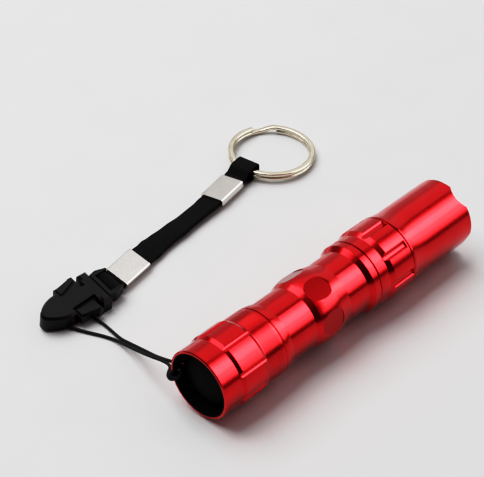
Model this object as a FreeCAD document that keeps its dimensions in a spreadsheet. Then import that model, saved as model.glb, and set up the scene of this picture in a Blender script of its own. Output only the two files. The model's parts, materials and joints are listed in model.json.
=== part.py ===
import FreeCAD, Part
import math
import os

import Sketcher
from FreeCAD import Placement, Rotation, Vector

# Keychain flashlight for one AA cell, with a short lanyard of thin cord, side-release buckle, webbing,
# two crimps and a split ring. Millimetres. +X runs from the tail to the head, +Z is up, and the table
# is the plane Z = 0. The origin is on the table, under the middle of the flashlight.
#
# A turned piece is drawn in its own frame: X is the station, measured from the tail rim, and the second
# coordinate is the radius. A piece of the lanyard is drawn where it lies, with X as the same station.

SIZES = {
    "whole flashlight": {
        "overall_length": 92.8, "axis_height": 10.4, "wall_gap": 0.1, "edge_break": 0.25,
        "thread_pitch": 1.0, "thread_crest_radius": 8.35, "thread_bore_radius": 8.5,
        "thread_groove_width": 0.7, "thread_groove_depth": 0.3,
        "seal_seat_radius": 7.8, "seal_ring_radius": 8.15, "seal_wire_radius": 0.27,
        "seal_seat_length": 1.1,
    },
    "tail cap": {
        "tail_length": 21.3, "tail_rim_radius": 9.5, "tail_rim_length": 5.9, "tail_shoulder_length": 1.0,
        "tail_grip_radius": 10.02, "tail_grip_end": 14.1, "tail_neck_start": 15.0, "tail_neck_radius": 9.55,
        "recess_radius": 8.5, "recess_depth": 4.2, "ledge_thickness": 1.0, "ledge_radius": 6.9,
        "chamber_radius": 8.0, "chamber_end": 14.8,
        "fine_groove_start": 15.5, "fine_groove_pitch": 0.65, "fine_groove_width": 0.34,
        "fine_groove_depth": 0.07, "fine_groove_count": 8,
        "tail_flute_count": 8, "tail_flute_cutter": 0.95, "tail_flute_offset": 0.5, "tail_clocking": 16.25,
        "cord_hole_station": 2.6, "cord_hole_radius": 1.1, "cord_hole_angle": -8.0,
    },
    "tail switch": {
        "button_tip": 1.7, "button_radius": 6.65, "button_shoulder": 3.4, "button_flange_radius": 7.5,
        "button_flange_start": 5.3, "button_flange_end": 6.0, "button_wall": 1.1,
        "plunger_radius": 2.2, "plunger_end": 9.0, "switch_start": 7.4, "switch_end": 12.8,
        "switch_radius": 7.9, "switch_bore_radius": 2.35, "switch_bore_end": 11.2,
        "retainer_start": 12.9, "retainer_end": 14.5, "retainer_bore_radius": 5.6,
        "spanner_slot_width": 1.6,
        "tail_spring_radius": 3.4, "tail_spring_wire": 0.3, "tail_spring_pitch": 0.75,
    },
    "cell": {
        "cell_start": 16.0, "cell_end": 66.4, "cell_radius": 7.2, "cell_nub_radius": 2.6,
        "cell_nub_length": 1.0, "cell_corner": 0.6,
    },
    "battery tube": {
        "tube_tail_end": 15.4, "tube_collar_start": 21.5, "tube_collar_end": 24.3,
        "tube_collar_radius": 9.5,
        "tube_collar_low_radius": 9.12, "tube_radius": 8.74, "tube_bore_radius": 7.4,
        "bulge_foot": 33.4, "bulge_start": 35.0, "bulge_end": 43.0, "bulge_tail": 46.0,
        "bulge_edge_radius": 9.35, "bulge_arc_radius": 17.5,
        "facet_station": 38.7, "facet_plane": 9.26, "facet_cutter": 3.8, "facet_count": 6,
        "tube_clocking": 20.5,
        "tube_ring_foot": 52.9, "tube_ring_start": 54.3, "tube_ring_end": 56.45, "tube_ring_radius": 9.83,
        "tube_head_end": 62.5,
    },
    "head": {
        "head_start": 56.65, "head_ring_radius": 9.8, "head_ring_end": 59.85, "head_grip_start": 61.4,
        "head_grip_radius": 10.4, "head_body_end": 68.85, "head_socket_end": 63.0, "head_bore_radius": 7.9,
        "head_flute_count": 8, "head_flute_cutter": 1.5, "head_flute_offset": 0.95,
        "head_flute_start": 59.9, "head_flute_end": 68.4,
        "head_clocking": -3.0,
        "neck_radius": 8.85, "neck_end": 74.0, "neck_seat_start": 69.6, "neck_seat_radius": 8.3,
        "neck_ring_radius": 8.675,
        "bezel_start": 69.05, "bezel_step_end": 69.6, "bezel_taper_end": 74.8, "bezel_radius": 9.77,
        "bezel_flare_radius": 26.0,
        "bezel_bore_radius": 9.05, "lip_start": 90.9, "lip_radius": 8.2, "scallop_cutter": 4.5,
        "scallop_depth": 1.7, "bezel_clocking": 30.5,
    },
    "light engine": {
        "pill_start": 65.7, "pill_radius": 7.85, "pill_shelf": 68.25, "pill_shelf_radius": 6.2,
        "pill_plate_start": 72.0, "wire_hole_radius": 0.6, "wire_radius": 0.35, "wire_offset": 4.5,
        "driver_start": 67.0, "driver_thickness": 1.2, "driver_radius": 6.85,
        "contact_start": 66.55, "contact_radius": 2.0, "inductor_radius": 1.6, "inductor_height": 2.0,
        "chip_length": 3.0, "chip_width": 2.4, "chip_height": 1.1, "chip_offset": 3.4,
        "led_board_thickness": 1.3, "led_board_radius": 7.6, "led_side": 3.3, "led_base_height": 0.55,
        "led_dome_radius": 1.25,
        "reflector_start": 76.0, "reflector_end": 88.5, "reflector_hole_radius": 2.45,
        "reflector_back_radius": 4.4, "reflector_mouth_radius": 8.15, "reflector_flange_radius": 8.95,
        "reflector_flange_thickness": 1.1, "reflector_bowl_arc": 17.0, "reflector_back_arc": 19.0,
        "lens_thickness": 1.6, "lens_radius": 8.95, "gasket_radius": 8.4, "gasket_thickness": 0.6,
    },
    "buckle": {
        "buckle_station": -6.2, "buckle_side": 50.7, "buckle_heading": -3.0, "buckle_roll": 10.0,
        "sleeve_length": 18.6, "sleeve_half_width": 4.2, "sleeve_height": 4.6, "nose_half_width": 1.9,
        "nose_start": 1.0, "nose_radius": 2.1, "cheek_end": 6.2, "cheek_radius": 9.0,
        "sleeve_flange_start": 15.7, "sleeve_flange_half_width": 5.7, "sleeve_top_bevel": 0.6,
        "pocket_start": 6.0, "pocket_half_width": 3.3, "pocket_floor": 0.8, "pocket_roof": 3.8,
        "window_start": 7.4, "window_end": 15.4, "notch_start": 7.8, "notch_depth": 1.9, "notch_tip": 2.4,
        "frame_start": 18.9, "frame_wall": 1.0, "frame_end": 23.9, "frame_half_width": 4.2,
        "frame_shoulder": 20.9, "frame_shoulder_half_width": 4.6, "frame_end_half_width": 3.7,
        "frame_floor": 0.6, "frame_roof": 4.0, "bar_station": 22.0, "bar_radius": 0.8,
        "guide_tip": 9.0, "guide_half_width": 0.7, "socket_start": 18.4, "socket_half_width": 3.0,
        "prong_tip": 7.3, "prong_inner": 1.7, "prong_outer": 2.8, "prong_tip_break": 0.6,
        "prong_root_radius": 0.58,
        "prong_floor": 1.4, "prong_roof": 3.5, "pivot_station": 17.6,
        "tab_start": 8.2, "tab_step": 11.2, "tab_groove": 11.6, "tab_crest": 13.4, "tab_end": 14.8,
        "tab_outer": 5.9, "tab_groove_side": 5.1, "tab_crest_side": 6.8,
        "tab_pad_roof": 4.3, "tab_pad_start": 8.6, "tab_pad_end": 14.2, "tab_pad_front": 3.1,
        "tab_pad_back": 5.2,
    },
    "webbing and crimps": {
        "webbing_width": 6.4, "webbing_thickness": 1.4,
        "crimp_length": 10.2, "crimp_wall": 0.45, "crimp_corner": 0.5,
        "ring_loop_station": 72.4, "ring_loop_side": 57.55, "ring_loop_height": 2.17,
        "ring_loop_heading": 10.0, "loop_flare": 1.9, "loop_centre": 5.2,
        "loop_outer_radius": 2.16, "loop_inner_radius": 1.66, "loop_inner_start": 1.5,
        "loop_inner_flare": 2.3, "bar_loop_outer_radius": 1.55, "bar_loop_inner_radius": 0.95,
        "bar_loop_tongue": 2.05,
    },
    "split ring": {
        "ring_station": 88.3, "ring_side": 58.8, "ring_height": 1.66, "ring_tilt": 2.44,
        "ring_joint_angle": 52.0,
        "ring_outer_radius": 12.44, "ring_radial_width": 1.62, "coil_height": 1.08, "coil_gap": 0.1,
        "ring_chamfer": 0.35, "upper_coil_angle": 340.0, "coil_join_angle": 14.0,
    },
    "edges, gaps and starts": {
        "fit_gap": 0.05, "fine_break": 0.15, "ring_break": 0.2, "thread_lead": 0.3,
        "tail_seal_shoulder": 0.7, "head_seal_shoulder": 0.45, "bezel_step_radius": 10.37,
        "tail_thread_start": 0.6, "tube_thread_start": 0.5, "tube_thread_reach": 4.2,
        "head_thread_start": 1.9, "neck_thread_start": 1.5, "wire_hole_lead": 0.5,
        "spanner_slot_depth": 0.9, "plunger_head_radius": 3.4, "plunger_head_end": 4.2,
        "button_crown_half": 0.4, "button_crown_radius": 26.0, "button_roll_length": 0.9,
        "button_roll_radius": 6.05, "button_roll": 1.0, "chip_shift": 0.6, "reflector_rim": 0.45,
        "lens_gap": 0.08,
    },
    "cord": {"cord_diameter": 0.85},
}


class Size:
    """A length or angle that carries its number and the sheet expression that gives it."""

    def __init__(self, value, text):
        self.value = float(value)
        self.text = text

    def __add__(self, other):
        other = as_size(other)
        return Size(self.value + other.value, f"({self.text} + {other.text})")

    def __sub__(self, other):
        other = as_size(other)
        return Size(self.value - other.value, f"({self.text} - {other.text})")

    def __mul__(self, factor):
        factor = as_size(factor)
        return Size(self.value * factor.value, f"({self.text} * {factor.text})")

    def __truediv__(self, divisor):
        divisor = as_size(divisor)
        return Size(self.value / divisor.value, f"({self.text} / {divisor.text})")

    def __neg__(self):
        return Size(-self.value, f"(0 - {self.text})")

    def __rsub__(self, other):
        return as_size(other) - self

    __radd__ = __add__
    __rmul__ = __mul__


def as_size(value):
    if isinstance(value, Size):
        return value
    return Size(value, f"({float(value)})")


class Dimensions:
    """The sheet's cells by name."""


doc = FreeCAD.newDocument("keychain_flashlight")
sheet = doc.addObject("Spreadsheet::Sheet", "Sizes")
d = Dimensions()


def fill_sheet():
    row = 1
    for group, cells in SIZES.items():
        sheet.set(f"A{row}", group)
        row += 1
        for alias, value in cells.items():
            sheet.set(f"A{row}", alias.replace("_", " "))
            sheet.set(f"B{row}", str(value))
            sheet.setAlias(f"B{row}", alias)
            setattr(d, alias, Size(value, f"Sizes.{alias}"))
            row += 1
    doc.recompute()


def bind(feature, path, size):
    feature.setExpression(path, as_size(size).text)


# ---------------------------------------------------------------- sketches and features

def add_body(name):
    body = doc.addObject("PartDesign::Body", name)
    body.Label = name
    return body


def add_sketch(body, plane_role, name, offset=Placement()):
    sketch = body.newObject("Sketcher::SketchObject", name)
    plane = next(item for item in body.Origin.OriginFeatures if item.Role == plane_role)
    sketch.AttachmentSupport = [(plane, "")]
    sketch.MapMode = "FlatFace"
    sketch.AttachmentOffset = offset
    return sketch


def pin_point(sketch, geometry, point, along, up):
    """Fix a sketch point at (along, up) from the sketch's origin."""
    for kind, length, axis in (("DistanceX", as_size(along), -2), ("DistanceY", as_size(up), -1)):
        if abs(length.value) < 1e-9:
            sketch.addConstraint(Sketcher.Constraint("PointOnObject", geometry, point, axis))
            continue
        positive = length.value > 0
        ends = (-1, 1, geometry, point) if positive else (geometry, point, -1, 1)
        index = sketch.addConstraint(Sketcher.Constraint(kind, *ends, abs(length.value)))
        bind(sketch, f"Constraints[{index}]", length if positive else -length)


def draw_loop(sketch, corners):
    """Draw a closed loop. A corner is (x, y), or (x, y, radius, side) where an arc leads to the next one,
    with its middle to the left of the chord for side 1 and to the right for side -1."""
    first = sketch.GeometryCount
    count = len(corners)
    places = [Vector(as_size(corner[0]).value, as_size(corner[1]).value, 0) for corner in corners]
    start_points = []
    for index, corner in enumerate(corners):
        start, end = places[index], places[(index + 1) % count]
        if len(corner) == 2:
            sketch.addGeometry(Part.LineSegment(start, end))
            start_points.append(1)
            continue
        radius, side = as_size(corner[2]), corner[3]
        half_chord = (end - start).Length / 2
        rise = radius.value - math.sqrt(radius.value ** 2 - half_chord ** 2)
        left = Vector(-(end - start).y, (end - start).x, 0).normalize()
        middle = (start + end) * 0.5 + left * (rise * side)
        sketch.addGeometry(Part.Arc(start, middle, end))
        start_points.append(2 if side > 0 else 1)
    for index, corner in enumerate(corners):
        edge, following = first + index, (index + 1) % count
        joint = (edge, 3 - start_points[index], first + following, start_points[following])
        sketch.addConstraint(Sketcher.Constraint("Coincident", *joint))
    for index, corner in enumerate(corners):
        edge = first + index
        if len(corner) > 2:
            number = sketch.addConstraint(Sketcher.Constraint("Radius", edge, as_size(corner[2]).value))
            bind(sketch, f"Constraints[{number}]", corner[2])
        pin_point(sketch, edge, start_points[index], corner[0], corner[1])


def draw_circle(sketch, along, up, radius):
    along, up, radius = as_size(along), as_size(up), as_size(radius)
    circle = Part.Circle(Vector(along.value, up.value, 0), Vector(0, 0, 1), radius.value)
    edge = sketch.addGeometry(circle)
    pin_point(sketch, edge, 3, along, up)
    number = sketch.addConstraint(Sketcher.Constraint("Radius", edge, radius.value))
    bind(sketch, f"Constraints[{number}]", radius)


def turn(body, sketch, name, kind="PartDesign::Revolution", angle=360.0):
    feature = body.newObject(kind, name)
    feature.Profile = sketch
    feature.ReferenceAxis = (sketch, ["H_Axis"])
    feature.Angle = angle
    return feature


def pad(body, sketch, name, length):
    feature = body.newObject("PartDesign::Pad", name)
    feature.Profile = sketch
    bind(feature, "Length", length)
    return feature


def pocket(body, sketch, name, length, both_ways=False):
    """Cut along the sketch's normal, or to both sides of it."""
    feature = body.newObject("PartDesign::Pocket", name)
    feature.Profile = sketch
    feature.Reversed = not both_ways
    if both_ways:
        feature.SideType = "Symmetric"
    bind(feature, "Length", length)
    return feature


def polar_pattern(body, axis_sketch, cut, count, angle=360.0):
    pattern = body.newObject("PartDesign::PolarPattern", cut.Name + "_pattern")
    pattern.Originals = [cut]
    pattern.Axis = (axis_sketch, ["H_Axis"])
    pattern.Angle = angle
    bind(pattern, "Occurrences", count)
    body.Tip = pattern


def linear_pattern(body, axis_sketch, cut, pitch, count):
    pattern = body.newObject("PartDesign::LinearPattern", cut.Name + "_pattern")
    pattern.Originals = [cut]
    pattern.Direction = (axis_sketch, ["H_Axis"])
    bind(pattern, "Length", pitch * (count - 1))
    bind(pattern, "Occurrences", count)
    body.Tip = pattern


def place_on_axis(item, clocking=0.0):
    """Put a turned piece on the flashlight's axis, turned about it by the clocking angle."""
    item.Placement = Placement(Vector(), Rotation(Vector(1, 0, 0), as_size(clocking).value))
    bind(item, "Placement.Base.x", -d.overall_length / 2)
    bind(item, "Placement.Base.z", d.axis_height)


def turned(name, outline, clocking=0.0):
    body = add_body(name)
    profile = add_sketch(body, "XZ_Plane", name + "_profile")
    draw_loop(profile, outline)
    turn(body, profile, name + "_turning")
    place_on_axis(body, clocking)
    return body, profile


def ring_grooves(body, axis_sketch, name, start, radius, width, depth, pitch, count, inside=False):
    """Cut a row of V-shaped grooves round a turned wall."""
    overshoot = 0.05
    mouth = radius - overshoot if inside else radius + overshoot
    bottom = radius + depth if inside else radius - depth
    sketch = add_sketch(body, "XZ_Plane", name + "_section")
    draw_loop(sketch, [(start, mouth), (start + width, mouth), (start + width / 2, bottom)])
    cut = turn(body, sketch, name, "PartDesign::Groove")
    linear_pattern(body, axis_sketch, cut, pitch, count)


def flutes(body, axis_sketch, name, start, end, centre_radius, cutter_radius, count):
    """Mill lengthwise round-bottomed flutes into a turned wall."""
    offset = Placement(Vector(0, 0, as_size(start).value), Rotation())
    sketch = add_sketch(body, "YZ_Plane", name + "_section", offset)
    bind(sketch, "AttachmentOffset.Base.z", start)
    draw_circle(sketch, 0, centre_radius, cutter_radius)
    cut = pocket(body, sketch, name, end - start)
    polar_pattern(body, axis_sketch, cut, count)


# ---------------------------------------------------------------- flashlight shells

def make_tail_cap():
    shoulder = d.tail_rim_length + d.tail_shoulder_length
    ledge_back = d.recess_depth + d.ledge_thickness
    body, profile = turned("tail_cap", [
        (0, d.tail_rim_radius - d.edge_break), (d.edge_break, d.tail_rim_radius),
        (d.tail_rim_length, d.tail_rim_radius), (shoulder, d.tail_grip_radius),
        (d.tail_grip_end, d.tail_grip_radius), (d.tail_neck_start, d.tail_neck_radius),
        (d.tail_length, d.tail_neck_radius), (d.tail_length, d.thread_bore_radius),
        (d.chamber_end, d.thread_bore_radius), (d.chamber_end, d.chamber_radius),
        (ledge_back, d.chamber_radius), (ledge_back, d.ledge_radius),
        (d.recess_depth, d.ledge_radius), (d.recess_depth, d.recess_radius), (0, d.recess_radius),
    ], d.tail_clocking)
    ring_grooves(body, profile, "tail_fine_grooves", d.fine_groove_start, d.tail_neck_radius,
                 d.fine_groove_width, d.fine_groove_depth, d.fine_groove_pitch, d.fine_groove_count)
    ring_grooves(body, profile, "tail_thread", d.chamber_end + d.tail_thread_start, d.thread_bore_radius,
                 d.thread_groove_width, d.thread_groove_depth, d.thread_pitch, as_size(4), inside=True)
    flutes(body, profile, "tail_flutes", d.tail_rim_length, d.tail_neck_start,
           d.tail_grip_radius + d.tail_flute_offset, d.tail_flute_cutter, d.tail_flute_count)
    hole_turn = d.cord_hole_angle.value - d.tail_clocking.value - 90
    hole_plane = Placement(Vector(), Rotation(Vector(1, 0, 0), hole_turn))
    sketch = add_sketch(body, "XY_Plane", "cord_hole_section", hole_plane)
    draw_circle(sketch, d.cord_hole_station, 0, d.cord_hole_radius)
    pocket(body, sketch, "cord_hole", d.tail_grip_radius + 1)


def make_battery_tube():
    seat_tail = d.tube_collar_start - d.tail_seal_shoulder
    seat_head = d.tube_ring_end + d.head_seal_shoulder
    root = d.seal_seat_radius
    crest = d.thread_crest_radius
    body, profile = turned("battery_tube", [
        (d.tube_tail_end, crest - d.thread_lead), (d.tube_tail_end + d.thread_lead, crest),
        (seat_tail - d.seal_seat_length, crest), (seat_tail - d.seal_seat_length, root),
        (seat_tail, root), (seat_tail, crest), (d.tube_collar_start, crest),
        (d.tube_collar_start, d.tube_collar_radius - d.edge_break),
        (d.tube_collar_start + d.edge_break, d.tube_collar_radius, 12.0, 1),
        (d.tube_collar_end, d.tube_collar_low_radius), (d.tube_collar_end + d.ring_break, d.tube_radius),
        (d.bulge_foot, d.tube_radius), (d.bulge_start, d.bulge_edge_radius, d.bulge_arc_radius, 1),
        (d.bulge_end, d.bulge_edge_radius), (d.bulge_tail, d.tube_radius),
        (d.tube_ring_foot, d.tube_radius), (d.tube_ring_start, d.tube_ring_radius),
        (d.tube_ring_end - d.ring_break, d.tube_ring_radius),
        (d.tube_ring_end, d.tube_ring_radius - d.ring_break),
        (d.tube_ring_end, crest), (seat_head, crest), (seat_head, root),
        (seat_head + d.seal_seat_length, root), (seat_head + d.seal_seat_length, crest),
        (d.tube_head_end - d.thread_lead, crest), (d.tube_head_end, crest - d.thread_lead),
        (d.tube_head_end, d.tube_bore_radius), (d.tube_tail_end, d.tube_bore_radius),
    ], d.tube_clocking)
    ring_grooves(body, profile, "tube_tail_thread", d.tube_tail_end + d.tube_thread_start, crest,
                 d.thread_groove_width, d.thread_groove_depth, d.thread_pitch, as_size(4))
    ring_grooves(body, profile, "tube_head_thread", d.tube_head_end - d.tube_thread_reach, crest,
                 d.thread_groove_width, d.thread_groove_depth, d.thread_pitch, as_size(4))
    plane = Placement(Vector(0, 0, d.facet_plane.value), Rotation())
    sketch = add_sketch(body, "XY_Plane", "facet_outline", plane)
    bind(sketch, "AttachmentOffset.Base.z", d.facet_plane)
    draw_circle(sketch, d.facet_station, 0, d.facet_cutter)
    cut = pocket(body, sketch, "facets", as_size(3))
    polar_pattern(body, profile, cut, d.facet_count)


def make_head_body():
    body, profile = turned("head_body", [
        (d.head_start, d.head_ring_radius - d.fine_break),
        (d.head_start + d.fine_break, d.head_ring_radius),
        (d.head_ring_end, d.head_ring_radius), (d.head_grip_start, d.head_grip_radius),
        (d.head_body_end - d.fine_break, d.head_grip_radius),
        (d.head_body_end, d.head_grip_radius - d.fine_break),
        (d.head_body_end, d.neck_radius), (d.neck_seat_start, d.neck_radius),
        (d.neck_seat_start, d.neck_seat_radius),
        (d.neck_seat_start + d.seal_seat_length, d.neck_seat_radius),
        (d.neck_seat_start + d.seal_seat_length, d.neck_radius),
        (d.neck_end - d.thread_lead, d.neck_radius),
        (d.neck_end, d.neck_radius - d.thread_lead), (d.neck_end, d.head_bore_radius),
        (d.head_socket_end, d.head_bore_radius), (d.head_socket_end, d.thread_bore_radius),
        (d.head_start, d.thread_bore_radius),
    ], d.head_clocking)
    ring_grooves(body, profile, "head_thread", d.head_start + d.head_thread_start, d.thread_bore_radius,
                 d.thread_groove_width, d.thread_groove_depth, d.thread_pitch, as_size(4), inside=True)
    ring_grooves(body, profile, "neck_thread", d.neck_seat_start + d.neck_thread_start, d.neck_radius,
                 d.thread_groove_width, d.thread_groove_depth, d.thread_pitch, as_size(3))
    flutes(body, profile, "head_flutes", d.head_flute_start, d.head_flute_end,
           d.head_grip_radius + d.head_flute_offset, d.head_flute_cutter, d.head_flute_count)


def make_bezel():
    length = d.overall_length
    body, profile = turned("bezel", [
        (d.bezel_start, d.bezel_step_radius - d.fine_break),
        (d.bezel_start + d.fine_break, d.bezel_step_radius),
        (d.bezel_step_end, d.bezel_step_radius, d.bezel_flare_radius, -1),
        (d.bezel_taper_end, d.bezel_radius),
        (length - d.edge_break, d.bezel_radius), (length, d.bezel_radius - d.edge_break),
        (length, d.lip_radius), (d.lip_start, d.lip_radius), (d.lip_start, d.bezel_bore_radius),
        (d.bezel_start, d.bezel_bore_radius),
    ], d.bezel_clocking)
    ring_grooves(body, profile, "bezel_thread", d.neck_seat_start + d.neck_thread_start,
                 d.bezel_bore_radius,
                 d.thread_groove_width, d.thread_groove_depth, d.thread_pitch, as_size(3), inside=True)
    sketch = add_sketch(body, "XY_Plane", "scallop_outline")
    draw_circle(sketch, length - d.scallop_depth + d.scallop_cutter, 0, d.scallop_cutter)
    cut = pocket(body, sketch, "scallops", d.bezel_radius * 2 + 2, both_ways=True)
    polar_pattern(body, profile, cut, as_size(2), 90.0)


# ---------------------------------------------------------------- switch, seals and springs

def make_button():
    wall = d.button_wall
    turned("button_boot", [
        (d.button_tip, 0), (d.button_tip, d.button_crown_half, d.button_crown_radius, 1),
        (d.button_shoulder - d.button_roll_length, d.button_roll_radius, d.button_roll, 1),
        (d.button_shoulder, d.button_radius), (d.button_flange_start, d.button_radius),
        (d.button_flange_start, d.button_flange_radius), (d.button_flange_end, d.button_flange_radius),
        (d.button_flange_end, d.button_radius - wall), (d.button_shoulder, d.button_radius - wall),
        (d.button_tip + wall, d.button_radius - 2 * wall), (d.button_tip + wall, 0),
    ])
    turned("switch_plunger", [
        (d.button_tip + wall + d.fit_gap, 0), (d.button_tip + wall + d.fit_gap, d.plunger_head_radius),
        (d.plunger_head_end, d.plunger_head_radius), (d.plunger_head_end, d.plunger_radius),
        (d.plunger_end, d.plunger_radius), (d.plunger_end, 0),
    ])


def make_switch():
    bevel = 0.5
    turned("switch_housing", [
        (d.switch_start, d.switch_bore_radius), (d.switch_start, d.switch_radius - bevel),
        (d.switch_start + bevel, d.switch_radius), (d.switch_end, d.switch_radius), (d.switch_end, 0),
        (d.switch_bore_end, 0), (d.switch_bore_end, d.switch_bore_radius),
    ])
    body, profile = turned("switch_retainer", [
        (d.retainer_start, d.retainer_bore_radius), (d.retainer_start, d.switch_radius),
        (d.retainer_end, d.switch_radius), (d.retainer_end, d.retainer_bore_radius),
    ])
    plane = Placement(Vector(0, 0, d.retainer_end.value - d.spanner_slot_depth.value), Rotation())
    sketch = add_sketch(body, "YZ_Plane", "spanner_slot_outline", plane)
    bind(sketch, "AttachmentOffset.Base.z", d.retainer_end - d.spanner_slot_depth)
    half, reach = d.spanner_slot_width / 2, d.switch_radius + 1
    draw_loop(sketch, [(-half, -reach), (half, -reach), (half, reach), (-half, reach)])
    pocket(body, sketch, "spanner_slots", as_size(1))


def make_seal(name, station, ring_radius):
    seal = doc.addObject("Part::Torus", name)
    seal.Label = name
    bind(seal, "Radius1", ring_radius)
    bind(seal, "Radius2", d.seal_wire_radius)
    seal.Placement = Placement(Vector(), Rotation(Vector(0, 1, 0), 90))
    bind(seal, "Placement.Base.x", station - d.overall_length / 2)
    bind(seal, "Placement.Base.z", d.axis_height)


def make_seals():
    seat_tail = d.tube_collar_start - d.tail_seal_shoulder - d.seal_seat_length / 2
    make_seal("tail_oring", seat_tail, d.seal_ring_radius)
    make_seal("head_oring", d.tube_ring_end + d.head_seal_shoulder + d.seal_seat_length / 2,
    d.seal_ring_radius)
    make_seal("bezel_oring", d.neck_seat_start + d.seal_seat_length / 2, d.neck_ring_radius)


def make_tail_spring():
    """Coil spring between the switch and the cell's flat end."""
    wire = d.tail_spring_wire
    start = d.switch_end + wire + d.fit_gap
    height = d.cell_start - start - wire - d.fit_gap
    across = Rotation(Vector(0, 1, 0), 90)
    coil = doc.addObject("Part::Helix", "tail_spring_coil")
    bind(coil, "Radius", d.tail_spring_radius)
    bind(coil, "Pitch", d.tail_spring_pitch)
    bind(coil, "Height", height)
    section = doc.addObject("Part::Circle", "tail_spring_section")
    bind(section, "Radius", wire)
    coil.Placement = Placement(Vector(), across)
    section.Placement = Placement(Vector(), across * Rotation(Vector(1, 0, 0), 90))
    for item in (coil, section):
        bind(item, "Placement.Base.x", start - d.overall_length / 2)
    bind(coil, "Placement.Base.z", d.axis_height)
    bind(section, "Placement.Base.z", d.axis_height - d.tail_spring_radius)
    spring = doc.addObject("Part::Sweep", "tail_spring")
    spring.Label = "tail_spring"
    spring.Sections = [section]
    spring.Spine = (coil, [])
    spring.Solid = True
    spring.Frenet = True


def make_cell():
    shoulder = d.cell_end - d.cell_nub_length
    turned("battery_cell", [
        (d.cell_start, 0), (d.cell_start, d.cell_radius - d.cell_corner),
        (d.cell_start + d.cell_corner, d.cell_radius, ), (shoulder - d.cell_corner, d.cell_radius),
        (shoulder, d.cell_radius - d.cell_corner), (shoulder, d.cell_nub_radius),
        (d.cell_end, d.cell_nub_radius), (d.cell_end, 0),
    ])


# ---------------------------------------------------------------- light engine

def make_pill():
    body, profile = turned("pill", [
        (d.pill_start, d.pill_radius), (d.neck_end, d.pill_radius), (d.neck_end, 0),
        (d.pill_plate_start, 0), (d.pill_plate_start, d.pill_shelf_radius),
        (d.pill_shelf, d.pill_shelf_radius), (d.pill_shelf, d.driver_radius + d.fit_gap),
        (d.pill_start, d.driver_radius + d.fit_gap),
    ])
    plane = Placement(Vector(0, 0, d.pill_plate_start.value - d.wire_hole_lead.value), Rotation())
    sketch = add_sketch(body, "YZ_Plane", "wire_hole_outline", plane)
    bind(sketch, "AttachmentOffset.Base.z", d.pill_plate_start - d.wire_hole_lead)
    for side in (1, -1):
        draw_circle(sketch, d.wire_offset * side, 0, d.wire_hole_radius)
    pocket(body, sketch, "wire_holes", as_size(4))


def make_driver():
    end = d.driver_start + d.driver_thickness
    turned("driver_board", [
        (d.driver_start, 0), (d.driver_start, d.driver_radius), (end, d.driver_radius), (end, 0),
    ])
    turned("driver_contact", [
        (d.contact_start, 0), (d.contact_start, d.contact_radius - d.ring_break),
        (d.contact_start + d.ring_break, d.contact_radius), (d.driver_start, d.contact_radius),
        (d.driver_start, 0),
    ])
    inductor = doc.addObject("Part::Cylinder", "driver_inductor")
    inductor.Label = "driver_inductor"
    bind(inductor, "Radius", d.inductor_radius)
    bind(inductor, "Height", d.inductor_height)
    inductor.Placement = Placement(Vector(), Rotation(Vector(0, 1, 0), 90))
    bind(inductor, "Placement.Base.x", end - d.overall_length / 2)
    bind(inductor, "Placement.Base.z", d.axis_height - d.chip_offset + d.chip_shift)
    chip = doc.addObject("Part::Box", "driver_chip")
    chip.Label = "driver_chip"
    bind(chip, "Length", d.chip_height)
    bind(chip, "Width", d.chip_length)
    bind(chip, "Height", d.chip_width)
    bind(chip, "Placement.Base.x", end - d.overall_length / 2)
    bind(chip, "Placement.Base.y", -d.chip_length / 2)
    bind(chip, "Placement.Base.z", d.axis_height + d.chip_offset - d.chip_width / 2 - d.chip_shift)


def make_wires():
    """Two leads from the driver to the light-emitting diode's board, through the pill's front plate."""
    start = d.driver_start + d.driver_thickness
    leads = []
    for side, name in ((1, "led_lead_a"), (-1, "led_lead_b")):
        lead = doc.addObject("Part::Cylinder", name)
        bind(lead, "Radius", d.wire_radius)
        bind(lead, "Height", d.neck_end + d.fit_gap - start)
        lead.Placement = Placement(Vector(), Rotation(Vector(0, 1, 0), 90))
        bind(lead, "Placement.Base.x", start - d.overall_length / 2)
        bind(lead, "Placement.Base.y", d.wire_offset * side)
        bind(lead, "Placement.Base.z", d.axis_height)
        leads.append(lead)
    pair = doc.addObject("Part::Compound", "led_wires")
    pair.Label = "led_wires"
    pair.Links = leads


def make_led():
    board_start = d.neck_end + d.fit_gap
    board_end = board_start + d.led_board_thickness
    turned("led_board", [
        (board_start, 0), (board_start, d.led_board_radius), (board_end, d.led_board_radius),
        (board_end, 0),
    ])
    body = add_body("led_emitter")
    plane = Placement(Vector(0, 0, board_end.value), Rotation())
    base = add_sketch(body, "YZ_Plane", "led_base_outline", plane)
    bind(base, "AttachmentOffset.Base.z", board_end)
    half = d.led_side / 2
    draw_loop(base, [(-half, -half), (half, -half), (half, half), (-half, half)])
    pad(body, base, "led_base", d.led_base_height)
    dome = add_sketch(body, "XZ_Plane", "led_dome_profile")
    foot = board_end + d.led_base_height - 0.1
    radius = d.led_dome_radius
    middle = radius * math.sqrt(0.5)
    draw_loop(dome, [
        (foot, 0), (foot, radius), (foot + 0.1, radius, radius, 1),
        (foot + 0.1 + middle, middle, radius, 1), (foot + 0.1 + radius, 0),
    ])
    turn(body, dome, "led_dome")
    place_on_axis(body)


def make_reflector():
    flange = d.reflector_end - d.reflector_flange_thickness
    turned("reflector", [
        (d.reflector_start, d.reflector_hole_radius), (d.reflector_start, d.reflector_back_radius,
                                                       d.reflector_back_arc, 1),
        (flange, d.reflector_mouth_radius + d.reflector_rim), (flange, d.reflector_flange_radius),
        (d.reflector_end, d.reflector_flange_radius),
        (d.reflector_end, d.reflector_mouth_radius, d.reflector_bowl_arc, -1),
    ])


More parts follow.
